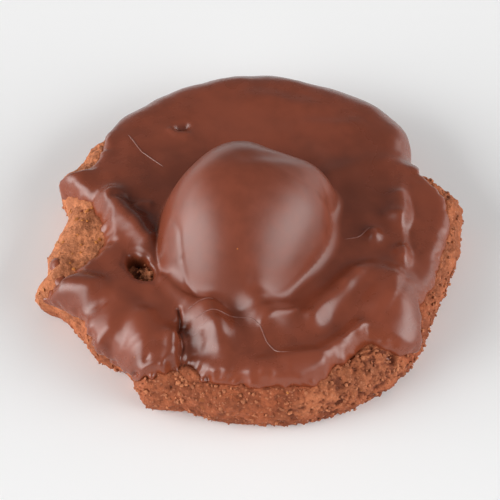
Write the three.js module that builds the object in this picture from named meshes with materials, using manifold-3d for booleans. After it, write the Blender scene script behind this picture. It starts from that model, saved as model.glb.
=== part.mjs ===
// Afghan biscuit: a round cocoa biscuit, a poured chocolate glaze and a chocolate-covered lump on top.
// Millimetres, +Z up. It rests flat on z = 0, and the origin is under the middle of its outline.
import * as THREE from 'three';
import { mergeVertices } from 'three/addons/utils/BufferGeometryUtils.js';
import Module from 'manifold-3d';

// ---- dough
const BISCUIT_RADIUS = 35.3;
const DOUGH_TOP = 10.4; // height of the dough in the middle
const DOUGH_RIM = 9.6; // height where the rounded shoulder starts
const SHOULDER = 5.2; // radius of the shoulder
const FOOT_INSET = 2.4; // how far the edge curves in below its widest line
const CRAG = 0.28; // height of the dough's lumps
const CRAG_SIZE = 7.0; // length of one lump's wave

// ---- chocolate glaze
const GLAZE = 1.9; // thickness away from its edge
const GLAZE_LEAST = 1.0; // thickness that its grooves leave
const BEAD = 2.2; // width of the rounded edge
const BEAD_START = 0.62; // share of the thickness that the rounding starts from
const RIM_FALL = 0.9; // how much thinner it runs out towards its edge
const RIM_FALL_WIDTH = 6.0;
const RIM_FALL_POWER = 1.5;
const GLAZE_REACH = 36.4; // from the middle to the edge, along the dough's skin
const GLAZE_WAVE = 0.2; // height of its slow waves
const GLAZE_WAVE_SIZE = 21.0;
const CORNER_ROUND = 0.8; // rounding between two stretches of its edge
const RAGGED = 0.3; // how far its edge wanders
const RAGGED_SIZE = 5.0;
// low shelf on the right, where the glaze ran thin
const SHELF = { from: 25.5, width: 1.9, drop: 1.0, front: -13, frontFade: 6, back: 14, backFade: 3 };

// ---- chocolate-covered lump
const LUMP_X = -2.2;
const LUMP_Y = -1.4;
const LUMP_BASE = 12.1; // level its sides are measured from
const LUMP_HEIGHT = 14.6;
// reach of its sides in eight directions, an eighth of a turn apart, from the right
const LUMP_REACH = [15.6, 14.0, 16.6, 13.6, 13.3, 16.4, 18.4, 15.9];
// how full (power) and how steep its sides are in the same directions
const LUMP_POWER = [2.0, 2.2, 2.0, 2.2, 2.35, 2.1, 1.95, 1.8];
const LUMP_STEEP = [0.48, 0.66, 0.83, 0.84, 0.8, 0.9, 0.98, 0.62];
const LUMP_BLEND = 4.0; // rounding between the lump and its side bulge
const SIDE_FALL = 2.6; // how fast it falls away outside its own foot
const SIDE_BULGE = { x: 5.4, y: 3.3, a: 9.1, b: 6.6, height: 9.9, power: 2.2, steep: 0.6 };
const FOOT_BLEND = 1.1; // rounding where its foot meets the glaze
// where the foot runs out more softly: direction, half width in degrees, extra rounding
const FOOT_RUNS = [[-22, 40, 4.4], [252, 22, 1.2], [60, 40, 1.6]];
const FOOT_RUNOUT = 24.5; // the lump shapes the chocolate within this reach of its middle
// the lump and the glaze part on a circle
const SEAM = { x: -0.6, y: -2.3, radius: 17.2 };

const MIDDLE_X = 0.15; // middle of the whole outline, which is put on the origin
const MIDDLE_Y = 0.65;
const FIT_GAP = 0.3; // clearance between neighbouring parts
const SINK = 1.0; // how far the glaze's raw body reaches into the dough before it is trimmed

// lobes of the dough's outline: direction, half width in degrees, reach
const OUTLINE_LOBES = [
  [12, 8.6, 1.9], [30.5, 7.6, -4.0], [59, 19.6, 1.0], [89, 15.9, 1.2], [124, 16.1, -0.6],
  [159, 5.5, 2.6], [168, 15.1, -3.4], [197, 3.5, 2.6], [213, 9.5, -1.7], [230, 6.3, -2.5],
  [242, 4.7, 1.0], [252, 4.7, -0.7], [299, 26.0, 1.3], [339, 14.7, -1.8],
];
// runs and dips of the glaze's edge: direction, half width in degrees, reach
const EDGE_LOBES = [
  [15.3, 12.1, -2.4], [25.7, 9.0, -2.4], [71.8, 43.6, 2.4], [150.6, 13.8, -5.7],
  [163.0, 4.6, 4.1], [198.0, 5.7, 3.0], [214.0, 8.0, -2.0], [250.5, 4.8, -2.1],
  [236.0, 7.5, 1.3], [263.2, 28.7, -3.5], [320.0, 3.4, 1.8], [331.6, 8.8, -3.2],
  [349.9, 13.7, -3.6], [21.5, 5.0, -1.8],
];
// bare dough that the glaze left free, as straight sides: direction each faces, distance from the middle
const LEFT_NOTCH = [[52, -12.2], [14.9, -24.5], [-44.2, -14.4], [-90, 12.5]];
const FRONT_CHIP = [[90, -24.6], [137.2, -30.3], [56, -7.9]];
const PATCH_ROUND = 0.7;
// hole in the glaze
const HOLE = { x: -18.4, y: -10.6, halfWidth: 1.6, halfLength: 2.9, turn: 36 };
// its section from the bottom up: share of the half sizes, height
const HOLE_SECTION = [[0, -1], [1, -1], [1, 1.4], [1.12, 2.0], [1.4, 2.5], [1.4, 5], [0, 5]];
// ridges (and grooves, with a height below 0) in the chocolate: half width, height, the places they pass
const FOLDS = [
  [1.4, -0.8, [[-12.7, 21.3], [-11.5, 21.6]]], // burst bubble
  // crack and the poured run beside it
  [2.8, -1.9, [[-11.0, -21.6], [-10.7, -31.0]]],
  [3.2, 1.4, [[-5.0, -21.6], [-4.4, -25.5], [-4.0, -29.8]]],
  [6.0, 1.0, [[3.0, -24.0], [4.0, -29.0]]],
  // raised ground and bumps along the near left rim
  [6.5, 1.2, [[-19.5, -17.5], [-16.5, -22.0]]],
  [2.5, 1.5, [[-13.6, -24.0], [-13.5, -27.0]]],
  [2.4, 1.2, [[-17.6, -23.0], [-18.5, -25.6]]],
  [1.9, 1.1, [[-22.6, -20.4], [-23.6, -22.0]]],
  [1.6, -0.7, [[-27.2, -18.6], [-24.6, -17.6]]],
  [2.0, 1.6, [[-32.0, -12.6], [-29.0, -13.2], [-26.0, -14.2]]],
  // ridge along the left notch and the hollow behind it
  [2.3, 2.0, [[-23.9, 5.2], [-21.8, 1.2], [-19.4, -1.8], [-17.2, -5.0]]],
  [1.8, -0.7, [[-19.5, 4.2], [-16.8, 1.4], [-16.0, -2.0]]],
  // slow folds at the back
  [2.2, 0.5, [[0.0, 28.5], [5.0, 28.0], [9.5, 26.5]]],
  [1.8, 0.45, [[10.0, 22.0], [16.0, 21.5], [18.0, 22.0]]],
  [2.2, 0.6, [[14.0, 10.0], [18.0, 11.8], [22.4, 13.2]]],
  [3.2, -0.6, [[14.5, 15.5], [12.0, 19.0]]],
  // bumps and folds on the right
  [1.2, 1.1, [[20.6, -3.3], [20.9, -3.8]]],
  [1.5, 1.4, [[25.2, -7.2], [25.4, -8.2]]],
  [1.7, 1.1, [[25.4, 7.5], [25.7, 3.5], [25.4, 0.6]]],
  [3.9, 2.5, [[22.0, -15.0], [21.5, -18.8]]],
  [1.9, 1.6, [[17.6, -12.8], [14.2, -16.2], [11.4, -19.2], [10.2, -21.0]]],
  // roll along the front rim
  [1.7, 0.6, [[0.6, -30.8], [11.4, -28.8], [17.6, -23.4]]],
  [1.7, 0.7, [[6.4, -30.2], [11.4, -28.8], [17.6, -23.4]]],
  [2.6, -0.6, [[8.0, -25.5], [14.0, -22.5]]],
];
// folds where the lump's foot meets the glaze in front
const LUMP_FOLDS = [
  [3.0, 2.2, [[0.9, -20.3], [1.7, -20.7]]],
];

// ---- fineness
const COLUMNS = 140;
// directions where the columns stand closer together: direction, half width in degrees, extra share
const FINE_SPOTS = [
  [161, 9, 1.6], [201, 8, 1.8], [222, 10, 0.8], [249, 6, 0.6], [297, 9, 0.8], [315, 8, 1.4], [25, 8, 0.8],
];
const DOUGH_SHARES = [1, 0.93, 0.84, 0.72, 0.5, 0]; // rings on the flat top, from its end to the middle
const ARC_STEPS = 5;
const FOOT_STEPS = 3;
const CRAG_FROM = 22.0; // the dough under the glaze is smooth within this reach
const GLAZE_SURE = 20.0; // the glaze is unbroken within this reach
const GLAZE_UNDER_SHARES = [0, 0.4, 0.7, 1];
const EDGE_INSETS = [0, 0.15, 0.6, 1.4, 2.6, 4.2, 6.0]; // rings of the rounded edge
const GLAZE_SHARES = [0.82, 0.64, 0.46, 0.28, 0.12, 0]; // rings of the rest, from the edge to the lump
const LUMP_COLUMNS = 68;
const LUMP_SHARES = [1, 0.95, 0.91, 0.87, 0.82, 0.76, 0.68, 0.58, 0.46, 0.32, 0.17, 0];
const HOLE_COLUMNS = 20;
const EDGE_STEP = 0.05; // step of the search for the glaze's edge
const MERGE = 1e-4;
const TINY = 1e-9;

// ---- looks
const DOUGH_COLOUR = 0xbe7b52;
const DOUGH_ROUGHNESS = 0.9;
const CHOCOLATE_COLOUR = 0x743c2a;
const CHOCOLATE_ROUGHNESS = 0.3;

const QUARTER = Math.PI / 2;
const DEG = Math.PI / 180;
// slow wandering is a sum of waves, each turned by the golden angle from the one before
const WAVES = 6;
const WAVE_TURN = 2.39996;
const WAVE_PACE = 0.75;
const WAVE_QUICKENING = 0.12;
const WAVE_SHIFT = 1.7;
const SEED_SHIFT = 3.1;
const WAVE_SUM = 3; // a sum of this many stands for 1
const CRAG_SEED = 5;
const EDGE_SEED = 1;
const GLAZE_SEED = 0.3;

function clamp01(v) {
  return Math.min(1, Math.max(0, v));
}

function lobes(deg, table) {
  return table.reduce((total, [at, half, reach]) => {
    const d = ((((deg - at + 180) % 360) + 360) % 360) - 180;
    return total + reach * Math.exp(-((d / half) ** 2));
  }, 0);
}

// Slow, unrepeated wandering between about -1 and 1.
function uneven(x, y, size, seed) {
  let total = 0;
  for (let i = 0; i < WAVES; i += 1) {
    const a = WAVE_TURN * i + seed;
    const k = ((2 * Math.PI) / size) * (WAVE_PACE + WAVE_QUICKENING * i);
    total += Math.sin(k * (x * Math.cos(a) + y * Math.sin(a)) + WAVE_SHIFT * i + SEED_SHIFT * seed);
  }
  return total / WAVE_SUM;
}

// The higher of two values, with the corner between them rounded.
function join(a, b, round) {
  const h = clamp01(0.5 + (0.5 * (a - b)) / round);
  return b + (a - b) * h + round * h * (1 - h);
}

function meet(a, b, round) {
  return -join(-a, -b, round);
}

function smoothStep(v) {
  const t = clamp01(v);
  return t * t * (3 - 2 * t);
}

// A smooth course through values that stand evenly round a full turn.
function aroundTable(deg, values) {
  const t = ((((deg % 360) + 360) % 360) * values.length) / 360;
  const i = Math.floor(t);
  const f = t - i;
  const [a, b, c, d] = [-1, 0, 1, 2].map((step) => values[(i + step + values.length) % values.length]);
  const bend = 2 * a - 5 * b + 4 * c - d;
  const twist = 3 * b - 3 * c + d - a;
  return b + ((c - a) * f + bend * f ** 2 + twist * f ** 3) / 2;
}

function outline(deg) {
  return BISCUIT_RADIUS + lobes(deg, OUTLINE_LOBES);
}

const ARC = QUARTER * SHOULDER;
const FOOT_HEIGHT = DOUGH_RIM - SHOULDER;
const FOOT_ARC = QUARTER * Math.sqrt((FOOT_INSET ** 2 + FOOT_HEIGHT ** 2) / 2);

// Where the dough's skin is at a reach along it, and which way it faces.
function skin(deg, reach) {
  const flatEnd = outline(deg) - SHOULDER;
  const flat = clamp01(reach / flatEnd);
  const a = clamp01((reach - flatEnd) / ARC) * QUARTER;
  const b = clamp01((reach - flatEnd - ARC) / FOOT_ARC) * QUARTER;
  const crown = (DOUGH_TOP - DOUGH_RIM) * (1 - flat ** 3);
  return {
    r: Math.min(reach, flatEnd) + SHOULDER * Math.sin(a) - FOOT_INSET * (1 - Math.cos(b)),
    z: DOUGH_RIM + crown - SHOULDER * (1 - Math.cos(a)) - FOOT_HEIGHT * Math.sin(b),
    outward: b > 0 ? Math.cos(b) : Math.sin(a),
    upward: b > 0 ? -Math.sin(b) : Math.cos(a),
  };
}

function onSkin(deg, reach, lift) {
  const p = skin(deg, reach);
  const r = p.r + p.outward * lift;
  return new THREE.Vector3(r * Math.cos(deg * DEG), r * Math.sin(deg * DEG), p.z + p.upward * lift);
}

// Distance outside a bare patch that straight sides bound.
function outsidePatch(x, y, sides) {
  const far = sides.map(([a, c]) => x * Math.cos(a * DEG) + y * Math.sin(a * DEG) - c);
  const most = Math.max(...far);
  return most + PATCH_ROUND * Math.log(far.reduce((t, f) => t + Math.exp((f - most) / PATCH_ROUND), 0));
}

// How far inside the glaze's edge a place on the skin is. Below 0 the dough is bare.
function cover(deg, reach) {
  const x = reach * Math.cos(deg * DEG);
  const y = reach * Math.sin(deg * DEG);
  const edge = GLAZE_REACH + lobes(deg, EDGE_LOBES) - reach;
  const notched = meet(edge, outsidePatch(x, y, LEFT_NOTCH), CORNER_ROUND);
  const chipped = meet(notched, outsidePatch(x, y, FRONT_CHIP), CORNER_ROUND);
  return chipped + RAGGED * uneven(x, y, RAGGED_SIZE, EDGE_SEED);
}

// Distance from a stroke of straight runs.
function awayFrom(x, y, places) {
  const runs = places.slice(1).map(([x1, y1], i) => {
    const [x0, y0] = places[i];
    const dx = x1 - x0;
    const dy = y1 - y0;
    const t = clamp01(((x - x0) * dx + (y - y0) * dy) / (dx * dx + dy * dy));
    return Math.hypot(x - x0 - t * dx, y - y0 - t * dy);
  });
  return Math.min(...runs);
}

function folds(x, y, strokes) {
  return strokes.reduce((total, [width, height, places]) => {
    return total + height * Math.exp(-((awayFrom(x, y, places) / width) ** 2));
  }, 0);
}

function shelfDrop(x, y) {
  const alongY = clamp01((SHELF.back - y) / SHELF.backFade) * clamp01((y - SHELF.front) / SHELF.frontFade);
  return SHELF.drop * smoothStep((x - SHELF.from) / SHELF.width) * alongY;
}

function glazeThickness(deg, reach, inside) {
  const x = reach * Math.cos(deg * DEG);
  const y = reach * Math.sin(deg * DEG);
  const t = clamp01(inside / BEAD);
  const rounded = Math.sqrt(1 - (1 - t) ** 2);
  const body = GLAZE * (BEAD_START + (1 - BEAD_START) * rounded);
  const fall = RIM_FALL * clamp01(1 - inside / RIM_FALL_WIDTH) ** RIM_FALL_POWER;
  const wave = GLAZE_WAVE * uneven(x, y, GLAZE_WAVE_SIZE, GLAZE_SEED);
  return rounded * Math.max(GLAZE_LEAST, body - fall + wave + folds(x, y, FOLDS) - shelfDrop(x, y));
}

// Height of the lump above its base level.
function lumpHeight(x, y) {
  const around = Math.atan2(y - LUMP_Y, x - LUMP_X) / DEG;
  const swelling = (q, reach, height, power, steep) => {
    return height * clamp01(1 - q ** power) ** steep - SIDE_FALL * Math.max(0, q - 1) * reach;
  };
  const reach = aroundTable(around, LUMP_REACH);
  const q = Math.hypot(x - LUMP_X, y - LUMP_Y) / reach;
  const power = aroundTable(around, LUMP_POWER);
  const main = swelling(q, reach, LUMP_HEIGHT, power, aroundTable(around, LUMP_STEEP));
  const bulge = SIDE_BULGE;
  const sideQ = Math.hypot((x - bulge.x) / bulge.a, (y - bulge.y) / bulge.b);
  return join(main, swelling(sideQ, bulge.a, bulge.height, bulge.power, bulge.steep), LUMP_BLEND);
}

// How softly the lump's foot runs out into the glaze, by the direction from the lump's middle.
function footBlend(x, y) {
  return FOOT_BLEND + lobes(Math.atan2(y - LUMP_Y, x - LUMP_X) / DEG, FOOT_RUNS);
}

// The chocolate's outside, over the glaze and the lump together.
function chocolate(deg, reach) {
  const p = onSkin(deg, reach, glazeThickness(deg, reach, cover(deg, reach)));
  if (Math.hypot(p.x - LUMP_X, p.y - LUMP_Y) < FOOT_RUNOUT) {
    p.z = join(LUMP_BASE + lumpHeight(p.x, p.y), p.z, footBlend(p.x, p.y)) + folds(p.x, p.y, LUMP_FOLDS);
  }
  return p;
}

// ---- solids
// Directions of the columns, closer together where the spots ask for it.
function columnDirections(columns, spots) {
  const share = (deg) => 1 + lobes(deg, spots);
  const steps = [...Array(360).keys()];
  const whole = steps.reduce((total, deg) => total + share(deg), 0);
  const directions = [];
  let passed = 0;
  steps.forEach((deg) => {
    const next = passed + (share(deg) * columns) / whole;
    while (directions.length < columns && directions.length < next - TINY) {
      directions.push(deg + (directions.length - passed) / (next - passed));
    }
    passed = next;
  });
  return directions;
}

// A body of revolution whose every point is then put in its own place.
// Each row takes a direction in degrees and gives a point.
function turned(rows, directions) {
  const section = rows.map((row) => row(0));
  const profile = section.map((p) => new THREE.Vector2(p.x, p.z));
  const geometry = new THREE.LatheGeometry(profile, directions.length);
  const position = geometry.attributes.position;
  for (let i = 0; i < position.count; i += 1) {
    const column = Math.floor(i / rows.length) % directions.length;
    const p = rows[i % rows.length](directions[column]);
    position.setXYZ(i, p.x, p.y, p.z);
  }
  geometry.deleteAttribute('normal');
  geometry.deleteAttribute('uv');
  return mergeVertices(geometry, MERGE);
}

const DIRECTIONS = columnDirections(COLUMNS, FINE_SPOTS);

const wasm = await Module();
wasm.setup();

function toSolid(geometry) {
  const triVerts = [];
  const index = geometry.index.array;
  for (let i = 0; i < index.length; i += 3) {
    const [a, b, c] = index.slice(i, i + 3);
    if (a !== b && b !== c && c !== a) triVerts.push(a, b, c);
  }
  const mesh = new wasm.Mesh({
    numProp: 3,
    vertProperties: geometry.attributes.position.array,
    triVerts: Uint32Array.from(triVerts),
  });
  return new wasm.Manifold(mesh);
}

function toGeometry(solid) {
  const mesh = solid.getMesh();
  const geometry = new THREE.BufferGeometry();
  geometry.setAttribute('position', new THREE.BufferAttribute(mesh.vertProperties, 3));
  geometry.setIndex(new THREE.BufferAttribute(mesh.triVerts, 1));
  return geometry;
}

// The dough's body, or one that is larger all round by the lift.
function doughBody(lift) {
  const flatEnd = (deg) => outline(deg) - SHOULDER;
  const craggy = (deg, reach) => {
    const p = onSkin(deg, reach, 0);
    const rise = clamp01((reach - CRAG_FROM) / CRAG_SIZE) * clamp01(p.z / CRAG_SIZE);
    return onSkin(deg, reach, lift + CRAG * rise * uneven(p.x, p.y + p.z, CRAG_SIZE, CRAG_SEED));
  };
  const foot = [];
  for (let i = 0; i < FOOT_STEPS; i += 1) {
    foot.push((deg) => craggy(deg, flatEnd(deg) + ARC + FOOT_ARC * (1 - i / FOOT_STEPS)));
  }
  const shoulder = [];
  for (let i = 0; i < ARC_STEPS; i += 1) {
    shoulder.push((deg) => craggy(deg, flatEnd(deg) + ARC * (1 - i / ARC_STEPS)));
  }
  const top = DOUGH_SHARES.map((share) => (deg) => craggy(deg, flatEnd(deg) * share));
  const under = () => new THREE.Vector3(0, 0, onSkin(0, outline(0) + ARC + FOOT_ARC, lift).z);
  return turned([under, ...foot, ...shoulder, ...top], DIRECTIONS);
}

// The reach at which a ray from the middle first leaves the glaze.
function glazeEdge(deg) {
  let reach = GLAZE_SURE;
  while (cover(deg, reach + EDGE_STEP) > 0) reach += EDGE_STEP;
  return reach;
}

// The reach at which a ray from the middle crosses the seam between the lump and the glaze.
function seamReach(deg) {
  const along = SEAM.x * Math.cos(deg * DEG) + SEAM.y * Math.sin(deg * DEG);
  return along + Math.sqrt(SEAM.radius ** 2 - SEAM.x ** 2 - SEAM.y ** 2 + along ** 2);
}

function glazeBody() {
  const reachAt = (deg, inset, share) => {
    const inner = seamReach(deg) + FIT_GAP;
    return inner + (glazeEdge(deg) - inset - inner) * share;
  };
  const under = GLAZE_UNDER_SHARES.map((share) => (deg) => onSkin(deg, reachAt(deg, 0, share), -SINK));
  const bead = EDGE_INSETS.map((inset) => (deg) => chocolate(deg, reachAt(deg, inset, 1)));
  const widest = EDGE_INSETS.at(-1);
  const flat = GLAZE_SHARES.map((share) => (deg) => chocolate(deg, reachAt(deg, widest, share)));
  return turned([...under, ...bead, ...flat, under[0]], DIRECTIONS);
}

// What the hole takes out of the glaze: an upright oval shaft that flares at the top.
function holePlug() {
  const shaft = HOLE_SECTION.map(([r, z]) => new THREE.Vector2(r, z));
  const geometry = new THREE.LatheGeometry(shaft, HOLE_COLUMNS);
  geometry.rotateX(QUARTER);
  geometry.scale(HOLE.halfWidth, HOLE.halfLength, 1);
  geometry.rotateZ(HOLE.turn * DEG);
  geometry.translate(HOLE.x, HOLE.y, DOUGH_RIM);
  geometry.deleteAttribute('normal');
  geometry.deleteAttribute('uv');
  return mergeVertices(geometry, MERGE);
}

function lumpBody() {
  const at = (deg, radius) => {
    const x = SEAM.x + radius * Math.cos(deg * DEG);
    const y = SEAM.y + radius * Math.sin(deg * DEG);
    return [Math.atan2(y, x) / DEG, Math.hypot(x, y)];
  };
  const under = (radius) => (deg) => onSkin(...at(deg, radius), FIT_GAP);
  const over = LUMP_SHARES.map((share) => (deg) => chocolate(...at(deg, SEAM.radius * share)));
  return turned([under(0), under(SEAM.radius), ...over], columnDirections(LUMP_COLUMNS, []));
}

function piece(name, geometry, color, roughness) {
  geometry.translate(-MIDDLE_X, -MIDDLE_Y, 0);
  geometry.computeVertexNormals();
  const material = new THREE.MeshStandardMaterial({ color, roughness, metalness: 0 });
  const mesh = new THREE.Mesh(geometry, material);
  mesh.name = name;
  return mesh;
}

const glaze = toSolid(glazeBody()).subtract(toSolid(doughBody(FIT_GAP))).subtract(toSolid(holePlug()));

const biscuit = new THREE.Group();
biscuit.add(piece('biscuit_base', doughBody(0), DOUGH_COLOUR, DOUGH_ROUGHNESS));
biscuit.add(piece('chocolate_glaze', toGeometry(glaze), CHOCOLATE_COLOUR, CHOCOLATE_ROUGHNESS));
biscuit.add(piece('chocolate_lump', lumpBody(), CHOCOLATE_COLOUR, CHOCOLATE_ROUGHNESS));

export default biscuit;
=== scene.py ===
"""Afghan biscuit: cocoa dough with a craggy edge, a poured chocolate glaze and a chocolate-covered lump.

Shapes are worked out in millimetres in the biscuit's own frame and become metres when a mesh is made.
"""

import math
from itertools import product

import bmesh
import bpy
import numpy as np
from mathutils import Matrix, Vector


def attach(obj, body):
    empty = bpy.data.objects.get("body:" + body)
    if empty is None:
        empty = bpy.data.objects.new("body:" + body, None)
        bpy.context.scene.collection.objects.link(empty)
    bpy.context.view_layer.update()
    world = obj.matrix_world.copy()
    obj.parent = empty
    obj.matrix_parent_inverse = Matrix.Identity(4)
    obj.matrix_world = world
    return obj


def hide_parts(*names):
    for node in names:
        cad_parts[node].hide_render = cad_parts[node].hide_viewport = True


bl_info = {
    "name": "Afghan Biscuit",
    "version": (1, 0, 0),
    "blender": (4, 5, 0),
    "location": "3D View > Sidebar > Biscuit",
    "description": "Builds a chocolate-glazed afghan biscuit with its studio stage",
    "category": "Object",
}

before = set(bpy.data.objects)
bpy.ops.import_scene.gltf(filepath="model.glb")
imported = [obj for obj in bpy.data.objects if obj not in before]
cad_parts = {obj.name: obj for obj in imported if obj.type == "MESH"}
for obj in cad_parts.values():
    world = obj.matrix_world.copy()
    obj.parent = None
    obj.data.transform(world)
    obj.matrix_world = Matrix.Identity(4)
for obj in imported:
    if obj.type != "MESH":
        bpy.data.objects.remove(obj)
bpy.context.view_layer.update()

MM = 0.001
GOLDEN_TURN = 2.39996
# middle of the whole outline, which the frame's origin stands under
MIDDLE = (0.15, 0.65)

# lobes of the dough's outline: direction, half width in degrees, reach
OUTLINE_LOBES = [
    (12, 8.6, 1.9), (30.5, 7.6, -4.0), (59, 19.6, 1.0), (89, 15.9, 1.2), (124, 16.1, -0.6),
    (159, 5.5, 2.6), (168, 15.1, -3.4), (197, 3.5, 2.6), (213, 9.5, -1.7), (230, 6.3, -2.5),
    (242, 4.7, 1.0), (252, 4.7, -0.7), (299, 26.0, 1.3), (339, 14.7, -1.8),
]
# runs and dips of the glaze's edge: direction, half width in degrees, reach
EDGE_LOBES = [
    (15.3, 12.1, -2.4), (25.7, 9.0, -2.4), (71.8, 43.6, 2.4), (150.6, 13.8, -5.7),
    (163.0, 4.6, 4.1), (198.0, 5.7, 3.0), (214.0, 8.0, -2.0), (250.5, 4.8, -2.1),
    (236.0, 7.5, 1.3), (263.2, 28.7, -3.5), (320.0, 3.4, 1.8), (331.6, 8.8, -3.2),
    (349.9, 13.7, -3.6), (21.5, 5.0, -1.8),
]
# bare dough bounded by straight sides: direction the side faces, distance from the middle
LEFT_NOTCH = [(52, -12.2), (14.9, -24.5), (-44.2, -14.4), (-90, 12.5)]
FRONT_CHIP = [(90, -24.6), (137.2, -30.3), (56, -7.9)]
PATCH_ROUND = 0.7
PATCH_FADE = 1.5
CORNER_ROUND = 0.8
# nicks in the glaze's edge, deeper where it is torn, and the torn part's direction and half width in degrees
EDGE_NICKS = 0.16
TORN_NICKS = 0.42
TORN_RIM = (238, 22)
# hole in the glaze: middle, half width, half length, turn in degrees
HOLE = (-18.4, -10.6, 1.6, 2.8, 36)
HOLE_BEAD = 0.45
HOLE_DEPTH = 1.0
# how the glaze's edge, its hole, its surface and the border of its shelf wander: height, size, seed
EDGE_WAVES = [(0.3, 5.0, 1.0)]
HOLE_WAVES = [(0.16, 2.6, 6.0)]
GLAZE_WAVES = [(0.16, 21.0, 0.3), (0.09, 7.0, 0.7)]
SHELF_WAVES = [(0.3, 9.0, 4.0)]
# livelier waves: direction and half width in degrees, how much livelier, from which reach and over how far
LIVELY = (222, 26)
LIVELINESS = 1.6
LIVELY_FROM = 19
LIVELY_FADE = 6
# glaze's thickness near its edge: the part that stands at the very edge, a swell (height, distance, half
# width), a fall towards the edge (depth, length), and the narrower rounding on the right
BEAD_START = 0.62
EDGE_SWELL = (0.15, 2.0, 1.3)
EDGE_FALL = (0.9, 6.0)
THIN_BEAD = (2, 28)
THINNING = 0.55
# shelf on the right: where its step starts, the step's length and depth, and where and over how far it ends
SHELF_FROM = 25.5
SHELF_STEP = 1.9
SHELF_DEPTH = 1.0
SHELF_ENDS = ((13, 9), (-13, 6))
DIP = 1.3  # how deep the chocolate's mesh runs below bare dough
# ridges (and grooves, where the height is below 0) in the glaze: half width, height, the places they pass
FOLDS = [
    # burst bubble
    (0.8, -1.1, [(-12.7, 21.3), (-11.5, 21.6)]),
    (0.8, 0.45, [(-13.8, 20.6), (-12.8, 19.6), (-11.2, 19.4)]),
    # crack, with a low place on its right
    (1.3, -1.5, [(-11.2, -23.0), (-11.0, -31.0)]),
    (2.8, -1.5, [(-10.2, -27.0), (-9.8, -30.0)]),
    (0.32, -0.8, [(-11.9, -20.0), (-11.6, -21.6), (-11.9, -23.6), (-11.2, -26.2), (-11.6, -28.4),
                  (-11.3, -31.0)]),
    (2.8, 2.8, [(-6.9, -20.2), (-5.9, -23.2)]),
    (2.5, 1.2, [(-4.8, -25.8), (-3.4, -28.6)]),
    (6.0, 0.8, [(4.5, -25.0), (5.5, -29.0)]),
    # swell round the lump's foot
    (1.5, 1.0, [(-13.8, -13.8), (-12.2, -16.0), (-10.4, -18.2)]),
    # raised ground and bumps along the near left rim
    (6.5, 1.2, [(-19.5, -17.5), (-16.5, -22.0)]),
    (2.0, 2.4, [(-12.1, -25.8), (-12.0, -27.6)]),
    (0.6, -1.4, [(-12.9, -29.4), (-13.4, -31.4)]),
    (0.5, -1.2, [(-7.0, -31.6), (-7.3, -33.4)]),
    (2.1, 1.4, [(-17.8, -21.6), (-16.8, -25.6)]),
    (1.2, -0.6, [(-22.3, -24.0), (-23.0, -27.0)]),
    (1.8, 1.1, [(-22.4, -22.0), (-23.2, -23.2)]),
    (1.6, -0.7, [(-27.2, -18.6), (-24.6, -17.6)]),
    (2.0, 1.6, [(-32.0, -12.6), (-29.0, -13.2), (-26.0, -14.2)]),
    # ridge along the left notch and the hollow behind it
    (2.3, 2.0, [(-23.9, 5.2), (-21.8, 1.2), (-19.4, -1.8), (-17.2, -5.0)]),
    (1.8, -0.7, [(-19.5, 4.2), (-16.8, 1.4), (-16.0, -2.0)]),
    (0.9, 0.6, [(-18.6, 3.6), (-17.4, 3.4)]),
    (0.9, -0.6, [(-23.2, 4.8), (-20.8, 4.6)]),
    # slow folds at the back
    (2.2, 0.5, [(0.0, 28.5), (5.0, 28.0), (9.5, 26.5)]),
    (1.8, 0.45, [(10.0, 22.0), (16.0, 21.5), (18.0, 22.0)]),
    (2.2, 0.6, [(14.0, 10.0), (18.0, 11.8), (22.4, 13.2)]),
    (3.2, -0.6, [(14.5, 15.5), (12.0, 19.0)]),
    # bumps and folds on the right
    (1.3, 1.3, [(20.4, -3.3), (20.7, -3.9)]),
    (1.5, 1.4, [(25.2, -7.2), (25.4, -8.2)]),
    (1.8, 1.1, [(25.2, 5.4), (25.2, 0.9)]),
    (1.4, 0.6, [(23.6, 0.9), (25.2, 0.3)]),
    (3.9, 2.5, [(22.4, -13.6), (21.5, -18.8)]),
    (2.2, 1.2, [(24.0, -14.6), (23.8, -17.2)]),
    (1.9, 1.6, [(17.6, -12.8), (14.2, -16.2), (11.4, -19.2), (10.2, -21.0)]),
    (1.7, 0.7, [(18.6, -10.8), (15.6, -14.2)]),
    # roll along the front rim
    (1.7, 0.6, [(0.6, -30.8), (11.4, -28.8), (17.6, -23.4)]),
    (1.7, 0.7, [(6.4, -30.2), (11.4, -28.8), (17.6, -23.4)]),
    (2.6, -0.6, [(8.0, -25.5), (14.0, -22.5)]),
]
LUMP_AT = (-2.2, -1.4)
LUMP_BASE = 12.1
LUMP_HEIGHT = 14.6
# reach of the lump's sides in eight directions, an eighth of a turn apart, from the right
LUMP_REACH = (15.6, 14.0, 16.6, 13.6, 13.3, 16.4, 18.4, 15.9)
# how full (power) and how steep its sides are in the same directions
LUMP_POWER = (2.0, 2.2, 2.0, 2.2, 2.35, 2.1, 1.95, 1.8)
LUMP_STEEP = (0.48, 0.66, 0.83, 0.84, 0.8, 0.9, 0.98, 0.62)
# second bulge: middle, half sizes, height, power, steepness
SIDE_BULGE = (5.4, 3.3, 9.1, 6.6, 9.9, 2.2, 0.6)
LUMP_BLEND = 4.0
SIDE_FALL = 2.6
# how softly the lump's foot meets the glaze, and where it is softer still: direction, half width, how much
FOOT_BLEND = 1.1
FOOT_RUNS = [(-22, 40, 4.4), (252, 22, 1.2), (60, 40, 1.6), (283, 13, 2.6), (230, 15, 1.5)]
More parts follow.
